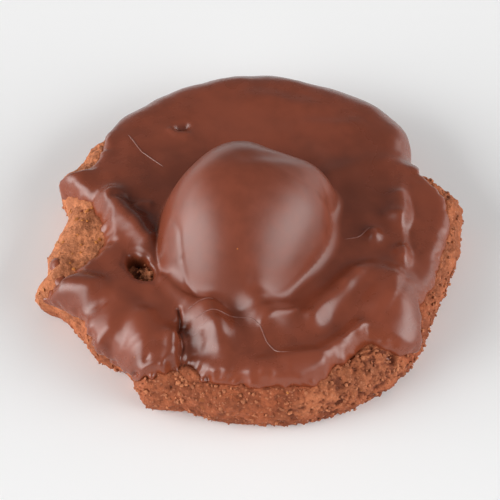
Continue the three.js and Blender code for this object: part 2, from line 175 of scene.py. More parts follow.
# folds on the lump, as those of the glaze
LUMP_FOLDS = [
    (1.6, -0.3, [(-0.8, 1.6), (3.4, 3.2), (6.6, 4.6)]),
    (1.3, -0.35, [(0.5, -17.4), (3.6, -17.6), (6.6, -17.6)]),
    (3.3, 2.6, [(1.6, -20.7), (2.4, -21.1)]),
    (0.42, 0.25, [(1.6, -23.4), (4.4, -21.6), (7.2, -20.0)]),
    (0.35, -0.16, [(-15.2, -1.6), (-13.1, -5.4), (-11.8, -8.6), (-11.4, -12.3)]),
    (0.35, -0.16, [(-11.4, -12.3), (-10.6, -15.4), (-9.0, -17.9), (-5.1, -19.4)]),
]
FOOT_REACH = 31.0
# dough's side: its rounding, how far its foot is drawn in, and the height of its rim
SHOULDER = 5.2
FOOT_INSET = 2.4
DOUGH_RIM = 9.6
CRAG_SIZE = 7.0
CRAG_FROM = 22.0
CLOD_SIZE = 1.1
GRAIN_SIZE = 0.62
PIT_SIZE = 2.4
CRUMB_FADE = 1.2  # height over which the crumb grows from the ground
# how high clods, gaps, rough ground, heaves, pores, pits and grains stand, in crumb heights: on whole dough,
# and added where it is broken
RELIEF = [(0, 1.6), (0, -1.8), (0.5, 1.0), (0, 2.0), (-2.4, 0), (-2.0, -4.0), (0.36, 0.9)]
# how broken the dough is, and added in the front chip and in the left notch
BROKEN, BROKEN_CHIP, BROKEN_NOTCH = 0.55, 0.6, -0.4
# how much painted shade darkens pores, pits, gaps, low ground and the dough under the glaze's hole
DARK_PORES, DARK_PITS, DARK_GAPS, DARK_LOWS, DARK_HOLE = 1.1, 1.4, 0.8, 0.8, 0.6
UNDER_GLAZE = 1.6  # how far the dough's mesh sinks where the glaze covers it
UNDERSIDE = 0.08  # how far the middle of the underside stands off the ground
UNDERSIDE_RINGS = 9
# paler dough, partly the smooth dry skin of the left notch and partly painted light on the lit sides and high
# up: direction and half width in degrees, and how much
PALE_LEFT = (172, 40)
PALE_ROUND, PALE_ROUND_SHARE = (172, 100), 0.3
PALE_RIGHT, PALE_RIGHT_SHARE = (4, 34), 0.45
PALE_CHIP_SHARE = 0.5
# painted light: the dough turns paler with height, so that its low sides stay darker
PALE_RISE = 3.0  # height over which the dough turns paler
# single deep pits in the bare dough: place, half width
DEEP_PITS = [((22.7, -26.4, 7.2), 1.4)]
# scatter: reach of the bare dough, places tried for each one wanted, how far outside the glaze and above
# the floor each stands, how much fewer crumbs stand on pale dough, and the share of flecks off the notch
BARE_REACH = (24, 42)
TRIES = 12
OFF_GLAZE = 0.1
OFF_FLOOR = 0.8
PALE_THINNING = 1.6
STRAY_FLECKS = 0.03
CRUMB_SMALLEST = 0.13
# lowest tone of the crumbs, from 0 (dark) to 1 (pale)
LOOSE_LIGHTEST = 0.25
HEAP_LIGHTEST = 0.8
# crumbs that lie close together: direction, reach, half width, mean size, count
CRUMB_HEAPS = [
    (213.0, 20.9, 1.2, 0.3, 70), (209.5, 20.4, 1.0, 0.2, 40), (205.5, 33.2, 1.2, 0.3, 26),
    (250.0, 33.6, 1.0, 0.3, 12), (316.5, 33.0, 1.6, 0.3, 40),
]
# chocolate that filled pits in the bare dough: direction, reach, half width
PIT_DROPS = [(192.4, 33.8, 1.15), (198.8, 34.0, 1.0), (171.5, 29.6, 0.45)]
# fine threads of chocolate on the glaze: the places they pass
THREADS = [
    [(-10.0, -22.5), (-6.0, -21.7), (-2.0, -21.8), (0.0, -22.5), (1.5, -24.0), (2.5, -26.5),
     (4.0, -28.5), (7.0, -29.3)],
    [(-10.5, -20.5), (-8.5, -19.6), (-6.0, -19.0)],
    [(-21.5, 20.2), (-19.0, 15.8), (-14.9, 11.7)],
    [(15.5, -4.5), (18.0, -4.0), (20.2, -2.4)],
]
THREAD_STEP = 0.35
# rings of the meshes: from, to, step of the reach
DOUGH_RINGS = [(0.1, 14, 1.4), (14, 22, 0.4), (22, 40.5, 0.22), (40.5, 44.5, 0.4)]
CHOCOLATE_RINGS = [(0.1, 12.0, 0.6), (12.0, 24.0, 0.22), (24.0, 41.4, 0.24)]
# where the chocolate's mesh is closer: direction, half width, how much
CROWD = [(232, 36, 1.1), (300, 30, 0.5)]
COAT_BOTTOM = 4.0  # height at which the chocolate's mesh closes, inside the dough

# stage: lengths in metres, angles in degrees
FLOOR_HALF = 3
CAMERA_ELEVATION = 50
CAMERA_AIM = (-0.00033, -0.00361, 0.00751)
CAMERA_DISTANCE = 0.45
CAMERA_LENS = 191.3
SKY_GREY = 0.9
SKY_STRENGTH = 0.25
SOFTBOX_DISTANCE = 1.2
SOFTBOX_AIM = (0, 0, 0.01)
SOFTBOX_SPREAD = 84  # so a softbox's edges are dimmer than its middle
# name, turn to the right of the camera's side, elevation, width, height, power
SOFTBOXES = [
    ("left_softbox", -68, 22, 1.4, 0.9, 5.4),
    ("far_left_softbox", -102, 9, 1.1, 0.55, 1.5),
    ("right_softbox", 71, 24, 1.55, 0.8, 4.6),
    ("far_right_softbox", 110, 12, 0.9, 0.5, 0.6),
]


# ---- numbers a user would change
class BiscuitSizes(bpy.types.PropertyGroup):
    radius: bpy.props.FloatProperty(
        name="Radius", description="Mean radius of the dough", default=0.0353, unit="LENGTH")
    dough_top: bpy.props.FloatProperty(
        name="Dough height", description="Height of the dough in its middle", default=0.0104, unit="LENGTH")
    glaze: bpy.props.FloatProperty(
        name="Glaze", description="Thickness of the chocolate glaze", default=0.0019, unit="LENGTH")
    bead: bpy.props.FloatProperty(
        name="Edge rounding", description="Width of the glaze's rounded edge", default=0.0022, unit="LENGTH")
    glaze_reach: bpy.props.FloatProperty(
        name="Glaze reach", description="From the middle to the glaze's edge, along the dough",
        default=0.0364, unit="LENGTH")
    crag: bpy.props.FloatProperty(
        name="Crags", description="Height of the dough's lumps", default=0.00028, unit="LENGTH")
    crumb: bpy.props.FloatProperty(
        name="Crumb", description="Height of the dough's grain", default=0.00022, unit="LENGTH")
    crumb_count: bpy.props.IntProperty(
        name="Crumbs", description="Loose crumbs on the bare dough", default=1500, min=0)
    fleck_count: bpy.props.IntProperty(
        name="Flecks", description="Cornflake flecks in the bare dough", default=48, min=0)
    thread: bpy.props.FloatProperty(
        name="Thread", description="Thickness of the fine chocolate threads", default=0.0002, unit="LENGTH")


class BiscuitColours(bpy.types.PropertyGroup):
    # baked dough, darkened so that it also carries painted shade on the front and low sides
    dough: bpy.props.FloatVectorProperty(
        name="Dough", description="Baked dough", default=(0.32, 0.078, 0.029, 1.0), size=4, subtype="COLOR")
    # dark dough: dark grit and crumbs, and painted shade in pores, pits, gaps, low ground and the glaze's
    # hole
    dough_dark: bpy.props.FloatVectorProperty(
        name="Dough pores", description="Dough in its pores and cracks", default=(0.15, 0.038, 0.017, 1.0),
        size=4, subtype="COLOR")
    # pale dough: the dry smooth skin of the left notch, its sugar grains and pale crumbs, and painted light
    # where the dough is lit
    dough_pale: bpy.props.FloatVectorProperty(
        name="Pale dough", description="Dry smooth dough on the left", default=(0.56, 0.2, 0.088, 1.0),
        size=4, subtype="COLOR")
    fleck: bpy.props.FloatVectorProperty(
        name="Flecks", description="Cornflake flecks in the dough", default=(0.6, 0.2, 0.04, 1.0),
        size=4, subtype="COLOR")
    chocolate: bpy.props.FloatVectorProperty(
        name="Chocolate", description="Set milk chocolate", default=(0.188, 0.042, 0.0195, 1.0),
        size=4, subtype="COLOR")
    chocolate_thin: bpy.props.FloatVectorProperty(
        name="Thin chocolate", description="Chocolate where the dough shows through",
        default=(0.235, 0.05, 0.018, 1.0), size=4, subtype="COLOR")
    floor: bpy.props.FloatVectorProperty(
        name="Floor", description="Plain pale floor", default=(0.92, 0.92, 0.92, 1.0),
        size=4, subtype="COLOR")


# ---- shape
def clamp(value):
    """The value, held between 0 and 1."""
    return np.clip(value, 0, 1)


def ease(value):
    """From 0 to 1 with a soft start and end."""
    t = clamp(value)
    return t * t * (3 - 2 * t)


def band(deg, at, half, power=4):
    """1 near a direction, and 0 well beyond the half width in degrees."""
    turned = (deg - at + 180.0) % 360.0 - 180.0
    return np.exp(-(turned / half) ** power)


def lobes(deg, table):
    """Swells and dips all round, from rows of direction, half width and height."""
    return sum(height * band(deg, at, half, 2) for at, half, height in table)


def plan(deg, reach):
    """Where a direction and a reach lead, seen from above."""
    return reach * np.cos(np.radians(deg)), reach * np.sin(np.radians(deg))


def uneven(x, y, size, seed):
    """Slow, unrepeated wandering between about -1 and 1."""
    total = np.zeros_like(x)
    for i in range(6):
        a = GOLDEN_TURN * i + seed
        k = 2 * np.pi / size * (0.75 + 0.12 * i)
        total = total + np.sin(k * (x * np.cos(a) + y * np.sin(a)) + 1.7 * i + 3.1 * seed)
    return total / 3.0


def waves(x, y, table):
    """Wandering of several sizes together, from rows of height, size and seed."""
    return sum(height * uneven(x, y, size, seed) for height, size, seed in table)


def chance(cells, seed):
    """A number from 0 to 1 for each whole-numbered cell, the same each time."""
    n = cells[..., 0] * 374761393 + cells[..., 1] * 668265263 + cells[..., 2] * 2147483647 + seed * 1274126177
    n = (n ^ (n >> 13)) * 1103515245
    n = (n ^ (n >> 16)) & 0x7FFFFFFF
    return n / float(0x7FFFFFFF)


def grains(points, size, seed):
    """Distances to the two nearest of scattered grains, in grain sizes, and the nearest one's number."""
    p = points / size
    base = np.floor(p).astype(np.int64)
    near = np.full(p.shape[:-1], 9.0)
    second = near.copy()
    number = np.zeros_like(near)
    for step in product((-1, 0, 1), repeat=3):
        cell = base + step
        spot = cell + np.stack([chance(cell, seed + j) for j in range(3)], -1)
        d = np.linalg.norm(p - spot, axis=-1)
        closer = d < near
        second = np.where(closer, near, np.minimum(second, d))
        number = np.where(closer, chance(cell, seed + 7), number)
        near = np.where(closer, d, near)
    return near, second, number


def soft_noise(points, size, seed):
    """Smooth noise between -1 and 1 from a lattice of chance values."""
    p = points / size
    base = np.floor(p).astype(np.int64)
    f = ease(p - base)
    total = np.zeros(p.shape[:-1])
    for step in product((0, 1), repeat=3):
        total += np.abs(1 - np.array(step) - f).prod(-1) * chance(base + step, seed)
    return total * 2 - 1


def join(a, b, rounding):
    """The higher of two, with the corner between them rounded."""
    h = clamp(0.5 + 0.5 * (a - b) / rounding)
    return b + (a - b) * h + rounding * h * (1 - h)


def meet(a, b, rounding):
    """The lower of two, with the corner between them rounded."""
    return -join(-a, -b, rounding)


def outside_patch(x, y, sides):
    """How far a place is outside a patch with straight sides and rounded corners."""
    far = np.stack([x * math.cos(math.radians(a)) + y * math.sin(math.radians(a)) - c for a, c in sides])
    most = far.max(0)
    return most + PATCH_ROUND * np.log(np.exp((far - most) / PATCH_ROUND).sum(0))


def outside_hole(x, y):
    """How far a place is outside the glaze's hole."""
    hx, hy, a, b, turn = HOLE
    t = math.radians(turn)
    u = (x - hx) * math.cos(t) + (y - hy) * math.sin(t)
    v = -(x - hx) * math.sin(t) + (y - hy) * math.cos(t)
    return (np.hypot(u / a, v / b) - 1) * min(a, b)


def around_table(deg, values):
    """A smooth course through values that stand evenly round a full turn."""
    values = np.asarray(values)
    t = (deg % 360.0) * len(values) / 360.0
    i = np.floor(t).astype(int)
    f = t - i
    a, b, c, d = (values[(i + step) % len(values)] for step in (-1, 0, 1, 2))
    return 0.5 * (2 * b + (c - a) * f + (2 * a - 5 * b + 4 * c - d) * f ** 2
                  + (3 * b - 3 * c + d - a) * f ** 3)


def folds(x, y, strokes):
    """Soft ridges and grooves along strokes, each fading out on both sides and at its ends."""
    total = np.zeros_like(x)
    for width, height, places in strokes:
        nearest = np.full_like(x, np.inf)
        for (x0, y0), (x1, y1) in zip(places, places[1:]):
            dx, dy = x1 - x0, y1 - y0
            t = clamp(((x - x0) * dx + (y - y0) * dy) / (dx * dx + dy * dy))
            nearest = np.minimum(nearest, (x - x0 - t * dx) ** 2 + (y - y0 - t * dy) ** 2)
        total += height * np.exp(-nearest / width ** 2)
    return total


def dome(q, height, power, steep, across):
    """Height at q (0 in a dome's middle, 1 at its foot), falling away beyond the foot."""
    return height * clamp(1 - q ** power) ** steep - SIDE_FALL * np.clip(q - 1, 0, None) * across


def smooth_course(at, passed, values):
    """Values between the given ones along a course, with its corners rounded."""
    plain = np.interp(at, passed, values)
    padded = np.concatenate([plain[:1], plain[:1], plain, plain[-1:], plain[-1:]])
    return np.convolve(padded, np.array([1, 2, 3, 2, 1]) / 9.0, "valid")


def directions(count, crowd):
    """Directions all round, closer together where the crowd's lobes are."""
    fine = np.linspace(0.0, 360.0, 3601)
    passed = np.concatenate([[0.0], np.cumsum(1 + lobes(fine[:-1], crowd))])
    return np.interp(np.arange(count) / count * passed[-1], passed, fine)


def rings(*spans):
    """Reaches from spans of (from, to, step)."""
    out = []
    for start, end, step in spans:
        count = max(1, int(round((end - start) / step)))
        out += list(np.linspace(start, end, count, endpoint=False))
    return np.array(out + [spans[-1][1]])


class Form:
    """The biscuit's shape, in millimetres, from the sizes in the panel."""

    def __init__(self, sizes):
        self.radius = sizes.radius / MM
        self.top = sizes.dough_top / MM
        self.glaze = sizes.glaze / MM
        self.bead = sizes.bead / MM
        self.reach = sizes.glaze_reach / MM
        self.crag = sizes.crag / MM
        self.crumb = sizes.crumb / MM
        self.arc = math.pi / 2 * SHOULDER
        self.foot_height = DOUGH_RIM - SHOULDER
        self.foot_arc = math.pi / 2 * math.sqrt((FOOT_INSET ** 2 + self.foot_height ** 2) / 2)

    def skin(self, deg, reach):
        """Radius, height and facing (outward, upward) of the dough's skin at a reach along it."""
        flat_end = self.radius + lobes(deg, OUTLINE_LOBES) - SHOULDER
        flat = clamp(reach / flat_end)
        a = clamp((reach - flat_end) / self.arc) * math.pi / 2
        b = clamp((reach - flat_end - self.arc) / self.foot_arc) * math.pi / 2
        r = np.minimum(reach, flat_end) + SHOULDER * np.sin(a) - FOOT_INSET * (1 - np.cos(b))
        z = (DOUGH_RIM + (self.top - DOUGH_RIM) * (1 - flat ** 3)
             - SHOULDER * (1 - np.cos(a)) - self.foot_height * np.sin(b))
        return r, z, np.where(b > 0, np.cos(b), np.sin(a)), np.where(b > 0, -np.sin(b), np.cos(a))

    def cover(self, deg, reach):
        """How far inside the glaze's edge a place on the skin is. Below 0 the dough is bare."""
        x, y = plan(deg, reach)
        inside = self.reach + lobes(deg, EDGE_LOBES) - reach
        for patch in (LEFT_NOTCH, FRONT_CHIP):
            inside = meet(inside, outside_patch(x, y, patch), CORNER_ROUND)
        nicks = (EDGE_NICKS + TORN_NICKS * band(deg, *TORN_RIM, 2)) * uneven(x, y, 2.2, 2.0)
        hole = outside_hole(x, y) + waves(x, y, HOLE_WAVES)
        return meet(inside + waves(x, y, EDGE_WAVES) + nicks, hole * self.bead / HOLE_BEAD, 0.3)

    def shelf(self, x, y):
        """How far the glaze steps down on its right."""
        step = ease((x - SHELF_FROM - waves(x, y, SHELF_WAVES)) / SHELF_STEP)
        (back, back_fade), (front, front_fade) = SHELF_ENDS
        return SHELF_DEPTH * step * clamp((back - y) / back_fade) * clamp((y - front) / front_fade)

    def thickness(self, deg, reach, inside):
        """How far the chocolate stands off the dough's skin, or lies in it where the dough is bare."""
        x, y = plan(deg, reach)
        bead = self.bead * (1 - THINNING * band(deg, *THIN_BEAD))
        rounded = np.sqrt(clamp(1 - (1 - clamp(inside / bead)) ** 2))
        body = self.glaze * (BEAD_START + (1 - BEAD_START) * rounded)
        height, middle, half = EDGE_SWELL
        swell = height * np.exp(-((inside - middle) / half) ** 2)
        deepest, length = EDGE_FALL
        fall = -deepest * clamp(1 - inside / length) ** 1.5
        lively = 1 + LIVELINESS * band(deg, *LIVELY, 2) * clamp((reach - LIVELY_FROM) / LIVELY_FADE)
        wave = waves(x, y, GLAZE_WAVES) * lively
        shelf = np.minimum(self.shelf(x, y), 0.7 * body)
        lift = rounded * (body + swell + wave + fall + folds(x, y, FOLDS) - shelf)
        dip = DIP + HOLE_DEPTH * clamp(1 - outside_hole(x, y))
        return np.where(inside < 0, np.maximum(inside * 4.0, -dip), lift)

    def lump(self, x, y, around):
        """Height of the lump above its base level, at places and their directions from its middle."""
        side = around_table(around, LUMP_REACH)
        q = np.hypot(x - LUMP_AT[0], y - LUMP_AT[1]) / side
        main = dome(q, LUMP_HEIGHT, around_table(around, LUMP_POWER), around_table(around, LUMP_STEEP), side)
        cx, cy, a, b, height, power, steep = SIDE_BULGE
        other = dome(np.hypot((x - cx) / a, (y - cy) / b), height, power, steep, a)
        return join(main, other, LUMP_BLEND)

    def chocolate(self, deg, reach):
        """Points of the chocolate's outside and how far inside its edge each is."""
        inside = self.cover(deg, reach)
        lift = self.thickness(deg, reach, inside)
        r, z, outward, upward = self.skin(deg, reach)
        x, y = plan(deg, r + outward * lift)
        z = z + upward * lift
        dx, dy = x - LUMP_AT[0], y - LUMP_AT[1]
        around = np.degrees(np.arctan2(dy, dx))
        blend = FOOT_BLEND + lobes(around, FOOT_RUNS)
        joined = join(LUMP_BASE + self.lump(x, y, around), z, blend) + folds(x, y, LUMP_FOLDS)
        z = np.where(np.hypot(dx, dy) < FOOT_REACH, joined, z)
        return np.stack([x, y, z], -1), inside

    def dough(self, deg, reach):
        """Points of the dough's outside, the painted shade in its pores, pits, gaps, low ground and under the
        glaze's hole, and how pale it is there.
        """
        r, z, outward, upward = self.skin(deg, reach)
        x, y = plan(deg, r)
        spots = np.stack([x, y, z], -1)
        flat = plan(deg, reach)
        # broken crumb in the front chip and low on the side, smoother skin in the left notch
        chip = clamp(1 - outside_patch(*flat, FRONT_CHIP) / PATCH_FADE)
        notch = clamp(1 - outside_patch(*flat, LEFT_NOTCH) / PATCH_FADE) * (1 - chip)
        broken = clamp(BROKEN + BROKEN_CHIP * chip + BROKEN_NOTCH * notch)
        hollow = clamp(-outside_hole(*flat) / 0.9 + 0.3)
        # clods with gaps between them, pores, pits and rough ground
        clod, beyond, number = grains(spots + 0.5 * soft_noise(spots, 0.8, 21)[..., None], CLOD_SIZE, 3)
        clods = (0.8 - clod) * (0.3 + number)
        gaps = clamp(1 - (beyond - clod) / 0.25) * clamp(number * 3 - 1.4)
        grain, _, number = grains(spots, GRAIN_SIZE, 11)
        pores = clamp((number - 0.8 - 0.13 * notch) / 0.2) * clamp(1 - grain / 0.7)
        pit, _, number = grains(spots, PIT_SIZE, 31)
        pits = clamp((number - 0.88) / 0.12) * clamp(1 - pit / 0.3)
        for place, half in DEEP_PITS:
            pits = np.maximum(pits, clamp(1.4 - 1.4 * np.linalg.norm(spots - place, axis=-1) / half))
        rough = soft_noise(spots, 1.3, 5) + 0.8 * soft_noise(spots, 0.6, 6)
        heave = soft_noise(spots, 3.2, 8)
        # how far all these lift the skin
        rise = clamp((reach - CRAG_FROM) / CRAG_SIZE) * clamp(z / CRAG_SIZE)
        lift = self.crag * rise * uneven(x, y + z, CRAG_SIZE, 5.0)
        lift = lift - UNDER_GLAZE * clamp(self.cover(deg, reach) / 2.0)
        parts = zip((clods, gaps, rough, heave, pores, pits, 0.6 - grain), RELIEF)
        relief = sum((whole + more * broken) * part for part, (whole, more) in parts)
        lift = lift + self.crumb * clamp(z / CRUMB_FADE) * relief - HOLE_DEPTH * hollow
        z = z + upward * lift
        # painted shade: pores, pits, gaps, low ground and the dough under the glaze's hole are darkened
        painted_shade = clamp(DARK_PORES * pores + DARK_PITS * pits + DARK_GAPS * gaps * broken
                      + DARK_LOWS * clamp(-rough) * broken + DARK_HOLE * hollow)
        # painted light: paler high up and on the lit left and right; on the left it is partly the smooth dry
        # skin
        pale = band(deg, *PALE_LEFT) * clamp(z / PALE_RISE - 0.6) * (1 - hollow)
        pale = pale + PALE_ROUND_SHARE * band(deg, *PALE_ROUND) * (1 - pale)
        high = clamp(z / PALE_RISE - 0.8)
        pale = pale + PALE_RIGHT_SHARE * band(deg, *PALE_RIGHT) * high
        pale = pale + PALE_CHIP_SHARE * chip * (1 - painted_shade) * high
        return np.stack([*plan(deg, r + outward * lift), np.maximum(z, 0.0)], -1), painted_shade, pale

    def underside(self, rim):
        """Rings of the nearly flat underside from its rim inwards, and how much darker each place is,
        following its rough ground.
        """
        points = rim[None] * np.linspace(0.97, 0.05, UNDERSIDE_RINGS)[:, None, None]
        rough = soft_noise(points, 1.6, 41) + 0.6 * soft_noise(points, 4.5, 42)
        points[..., 2] = UNDERSIDE + 0.03 * rough
        return points, clamp(0.25 * rough + 0.1)

    def ground(self, deg, reach, above):
        """Places above (or below) the dough's outside and the way the dough faces there."""
        _, _, outward, upward = self.skin(deg, reach)
        facing = np.stack([*plan(deg, outward), upward], -1)
        return self.dough(deg, reach)[0] + np.broadcast_to(above, deg.shape)[:, None] * facing, facing


# ---- mesh
def add_object(name, data):
    """The scene's new object that holds the data."""
    holder = bpy.data.objects.new(name, data)
    bpy.context.scene.collection.objects.link(holder)
    return holder


def add_mesh(name, points, faces, values, smooth=False):
    """A piece from points in the biscuit's own frame, its faces and its values, one for each point."""
    mesh = bpy.data.meshes.new(name)
    mesh.from_pydata((points - np.array([*MIDDLE, 0.0])) * MM, [], faces, shade_flat=not smooth)
    for label, value in values.items():
        layer = mesh.attributes.new(label, "FLOAT", "POINT")
        layer.data.foreach_set("value", value.astype(np.float32))
    if mesh.validate():
        raise RuntimeError(f"{name} has faulty faces")
    return add_object(name, mesh)


def ring_mesh(name, points, values, below):
    """A closed body from rings of points, from the innermost to the lowest, closed by a point at each end."""
    rows, columns, _ = points.shape
    first, last = points[0].mean(0), points[-1].mean(0)
    last[2] = below
    i = np.arange(rows - 1)[:, None] * columns
    j = np.arange(columns)
    k = (j + 1) % columns
    quads = np.stack([i + j, i + columns + j, i + columns + k, i + k], -1).reshape(-1, 4)
    hub, end = rows * columns, (rows - 1) * columns
    fan_top = np.stack([np.full(columns, hub), j, k], -1)
    fan_low = np.stack([np.full(columns, hub + 1), end + k, end + j], -1)
    faces = quads.tolist() + fan_top.tolist() + fan_low.tolist()
    values = {label: np.append(value, [value[0].mean(), value[-1].mean()]) for label, value in values.items()}
    return add_mesh(name, np.concatenate([points.reshape(-1, 3), [first, last]]), faces, values, smooth=True)


def ball(subdivisions):
    """Points and faces of a ball of radius 1 made of triangles."""
    form = bmesh.new()
    bmesh.ops.create_icosphere(form, subdivisions=subdivisions, radius=1.0)
    points = np.array([v.co[:] for v in form.verts])
    faces = np.array([[v.index for v in f.verts] for f in form.faces])
    form.free()
    return points, faces


def lumps(name, ground, sizes, rng, flatness, roughness, lightest=0.0, subdivisions=1, smooth=False):
    """Many rough little bodies in one mesh, each turned by chance and pressed flat against its ground."""
    centres, facings = ground
    unit, faces = ball(subdivisions)
    count = len(centres)
    spin = np.linalg.qr(rng.normal(size=(count, 3, 3)))[0]
    shape = unit[None] * (1 + roughness * rng.uniform(-1, 1, (count, len(unit), 1)))
    shape = shape * rng.uniform(0.7, 1.3, (count, 1, 3))
    shape = np.einsum("nij,nkj->nki", spin, shape)
    up = np.einsum("nki,ni->nk", shape, facings)
    shape = shape - (1 - flatness) * up[..., None] * facings[:, None]
    points = centres[:, None] + shape * sizes[:, None, None]
    index = faces[None] + np.arange(count)[:, None, None] * len(unit)
    tone = np.repeat(np.maximum(rng.uniform(0, 1, count), lightest), len(unit))
    return add_mesh(name, points.reshape(-1, 3), index.reshape(-1, 3).tolist(), {"tone": tone}, smooth)


def tubes(name, courses, radius, sides=6):
    """Thin tubes along courses of points, each drawn out to a tip at both ends."""
    points, faces = [], []
    turn = np.arange(sides) / sides * 2 * np.pi
    start = 0
    for course in courses:
        ahead = np.gradient(course, axis=0)
        ahead /= np.linalg.norm(ahead, axis=1)[:, None]
        across = np.cross(ahead, [0.0, 0.0, 1.0])
        across /= np.linalg.norm(across, axis=1)[:, None]
        over = np.cross(across, ahead)
        along = np.linspace(0, 1, len(course))
        thick = radius * np.clip(np.minimum(along, 1 - along) * 8, 0.12, 1)
        ring = np.cos(turn)[None, :, None] * across[:, None] + np.sin(turn)[None, :, None] * over[:, None]
        points.append((course[:, None] + ring * thick[:, None, None]).reshape(-1, 3))
        for i in range(len(course) - 1):
            for j in range(sides):
                a, b = start + i * sides + j, start + i * sides + (j + 1) % sides
                faces.append((a, b, b + sides, a + sides))
        last = start + (len(course) - 1) * sides
        faces += [tuple(range(start + sides - 1, start - 1, -1)), tuple(range(last, last + sides))]
        start = last + sides
    return add_mesh(name, np.concatenate(points), faces, {})


# ---- finishes
class Wiring:
    """Puts nodes in a tree. A value is a socket, a plain number or a colour."""

    def __init__(self, tree):
        self.tree = tree

    def feed(self, socket, value):
        if isinstance(value, bpy.types.NodeSocket):
            self.tree.links.new(value, socket)
        else:
            socket.default_value = value

    def fill(self, node, **values):
        """Feed a node's inputs. An underscore stands for a space in an input's name."""
        for label, value in values.items():
            self.feed(node.inputs[label.replace("_", " ")], value)

    def add(self, kind, **values):
        node = self.tree.nodes.new(kind)
        self.fill(node, **values)
        return node

    def math(self, operation, *values):
        node = self.add("ShaderNodeMath")
        node.operation = operation
        for socket, value in zip(node.inputs, values):
            self.feed(socket, value)
        return node.outputs[0]

    def times(self, a, b):
        return self.math("MULTIPLY", a, b)

    def noise(self, place, scale, **values):
        return self.add("ShaderNodeTexNoise", Vector=place, Scale=scale, **values).outputs["Fac"]


def mask_group(name, **numbers):
    """A shader group that makes a mask from places and numbers, with its wiring, inputs and output."""
    group = bpy.data.node_groups.new(name, "ShaderNodeTree")
    group.interface.new_socket("Vector", in_out="INPUT", socket_type="NodeSocketVector")
    for label, default in numbers.items():
        socket = group.interface.new_socket(
            label.replace("_", " "), in_out="INPUT", socket_type="NodeSocketFloat")
        socket.default_value = default
    group.interface.new_socket("Mask", in_out="OUTPUT", socket_type="NodeSocketFloat")
    given, out = group.nodes.new("NodeGroupInput"), group.nodes.new("NodeGroupOutput")
    return group, Wiring(group), given.outputs, out.inputs["Mask"]


def soft_mottle():
    """Soft patches of two sizes, for colour or gloss that wanders over a surface."""
    group, wiring, given, mask = mask_group("soft_mottle", Large_Scale=90.0, Small_Scale=600.0)
    large, small = (wiring.noise(given["Vector"], given[scale], Detail=3.0)
                    for scale in ("Large Scale", "Small Scale"))
    wiring.feed(mask, wiring.math("MULTIPLY_ADD", small, 0.35, wiring.times(large, 0.65)))
    return group


def specks():
    """Round specks where chance puts them: a mask of those whose number passes the rarity."""
    group, wiring, given, mask = mask_group("specks", Scale=900.0, Rarity=0.9, Size=0.3)
    cells = wiring.add("ShaderNodeTexVoronoi", Vector=given["Vector"], Scale=given["Scale"])
    split = wiring.add("ShaderNodeSeparateColor", Color=cells.outputs["Color"])
    chosen = wiring.math("GREATER_THAN", split.outputs["Red"], given["Rarity"])
    inside = wiring.math("LESS_THAN", cells.outputs["Distance"], given["Size"])
    wiring.feed(mask, wiring.times(chosen, inside))
    return group


class Finish(Wiring):
    """A new material that is being made, with its shader and the place on the piece."""

    def __init__(self, name):
        self.material = bpy.data.materials.new(name)
        self.material.use_nodes = True
        super().__init__(self.material.node_tree)
        self.shader = self.tree.nodes["Principled BSDF"]
        self.place = self.add("ShaderNodeTexCoord").outputs["Object"]

    def shared(self, make, **values):
        """The mask of a group that the finishes share and the first one builds."""
        node = self.tree.nodes.new("ShaderNodeGroup")
        node.node_tree = bpy.data.node_groups.get(make.__name__) or make()
        self.fill(node, Vector=self.place, **values)
        return node.outputs["Mask"]

    def mottle(self, large, small):
        return self.shared(soft_mottle, Large_Scale=large, Small_Scale=small)

    def specks(self, scale, rarity, size):
        return self.shared(specks, Scale=scale, Rarity=rarity, Size=size)

    def attribute(self, name):
        node = self.add("ShaderNodeAttribute")
        node.attribute_name = name
        return node.outputs["Fac"]

    def bump(self, scale, distance, strength=1.0, **values):
        """A normal that follows fine noise."""
        height = self.noise(self.place, scale, **values)
        node = self.add("ShaderNodeBump", Strength=strength, Distance=distance, Height=height)
        return node.outputs["Normal"]

    def mix(self, first, second, mask, blend="MIX"):
        """A colour between two."""
        node = self.add("ShaderNodeMix")
        node.data_type = "RGBA"
        node.blend_type = blend
        inputs = {(socket.name, socket.type): socket for socket in node.inputs}
        for kind, value in ((("Factor", "VALUE"), mask), (("A", "RGBA"), first), (("B", "RGBA"), second)):
            self.feed(inputs[kind], value)
        return next(socket for socket in node.outputs if socket.type == "RGBA")

    def spread(self, value, low, high, to_low=0.0, to_high=1.0):
        """The value's span from low to high, stretched smoothly to another span."""
        node = self.add("ShaderNodeMapRange")
        node.interpolation_type = "SMOOTHSTEP"
        self.fill(node, Value=value, From_Min=low, From_Max=high, To_Min=to_low, To_Max=to_high)
        return node.outputs["Result"]

    def done(self, **values):
        """The material, with the values on its shader."""
        self.fill(self.shader, **values)
        return self.material


def shaded(colour, amount):
    """The colour made lighter or darker."""
    return [v * amount for v in colour[:3]] + [1.0]


